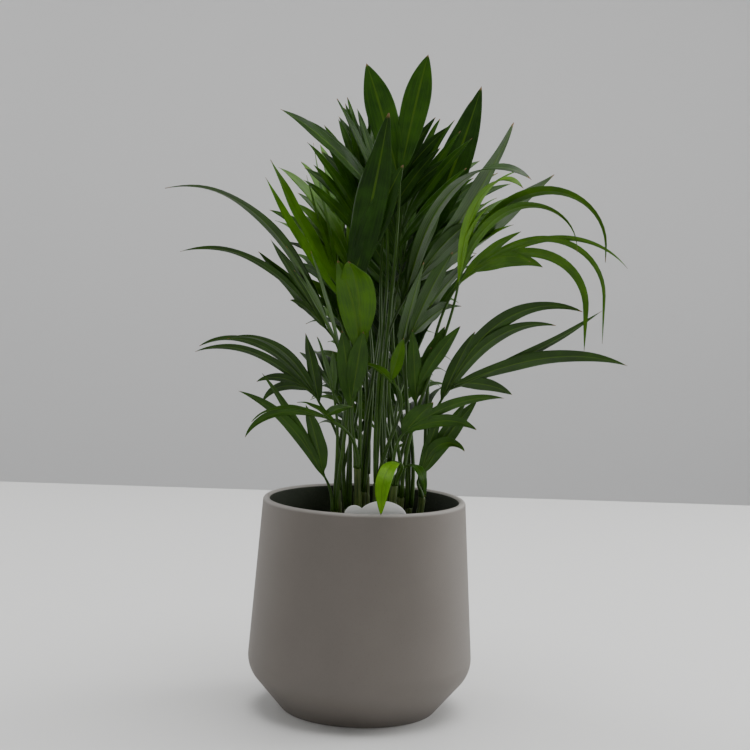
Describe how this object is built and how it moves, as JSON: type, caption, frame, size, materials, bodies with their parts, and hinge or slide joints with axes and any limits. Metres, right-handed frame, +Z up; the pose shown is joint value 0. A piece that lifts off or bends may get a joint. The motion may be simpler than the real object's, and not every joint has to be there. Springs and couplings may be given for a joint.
{
  "type": "potted areca palm",
  "caption": "Young clumping feather palm with broad and narrow arching leaflets on slim green stalks, in a tapered matte taupe cover pot.",
  "frame": {"origin": "centre of the pot's flat underside", "axes": "+Z up along the pot's axis, -Y towards the front of the plant, +X to its right"},
  "size_m": [0.3612, 0.3007, 0.5234],
  "materials": {
    "pot": "matte taupe glaze",
    "potting_mix": "damp dark peat and bark",
    "label": "plain white card",
    "cane": "smooth green sheath",
    "foliage": "satin palm leaf with fine lengthwise veins"
  },
  "bodies": {
    "root": {"cane_01": "cane", "cane_02": "cane", "cane_03": "cane", "cane_04": "cane", "cane_05": "cane", "cane_06": "cane", "cane_07": "cane", "cane_08": "cane", "cane_09": "cane", "cane_10": "cane", "cane_11": "cane", "cane_12": "cane", "cane_13": "cane", "cane_14": "cane", "frond_arching_leaf": "foliage", "frond_back_high_1": "foliage", "frond_back_high_2": "foliage", "frond_back_high_3": "foliage", "frond_back_high_4": "foliage", "frond_back_high_5": "foliage", "frond_back_low_1": "foliage", "frond_back_low_2": "foliage", "frond_back_low_3": "foliage", "frond_back_low_4": "foliage", "frond_back_low_5": "foliage", "frond_back_middle_1": "foliage", "frond_back_middle_2": "foliage", "frond_back_middle_3": "foliage", "frond_back_middle_4": "foliage", "frond_back_middle_5": "foliage", "frond_back_top_1": "foliage", "frond_back_top_2": "foliage", "frond_back_top_3": "foliage", "frond_centre_dark_fork": "foliage", "frond_centre_left_fork": "foliage", "frond_centre_right_upright": "foliage", "frond_dark_right_fan": "foliage", "frond_dark_right_mid": "foliage", "frond_front_bifid": "foliage", "frond_hanging_leaf": "foliage", "frond_left_bright_blades": "foliage", "frond_left_long_arcs": "foliage", "frond_left_low_upright": "foliage", "frond_left_mid": "foliage", "frond_left_mid_blades": "foliage", "frond_low_left_arch": "foliage", "frond_low_left_long": "foliage", "frond_low_right_small": "foliage", "frond_pale_centre_leaf": "foliage", "frond_right_fountain": "foliage", "frond_right_low": "foliage", "frond_right_low_front": "foliage", "frond_small_rim_leaf": "foliage", "frond_top_fork": "foliage", "frond_upper_left_sprays": "foliage", "frond_upper_right_blade": "foliage", "plant_label": "label", "pot": "pot", "potting_soil": "potting_mix"}
  },
  "joints": []
}
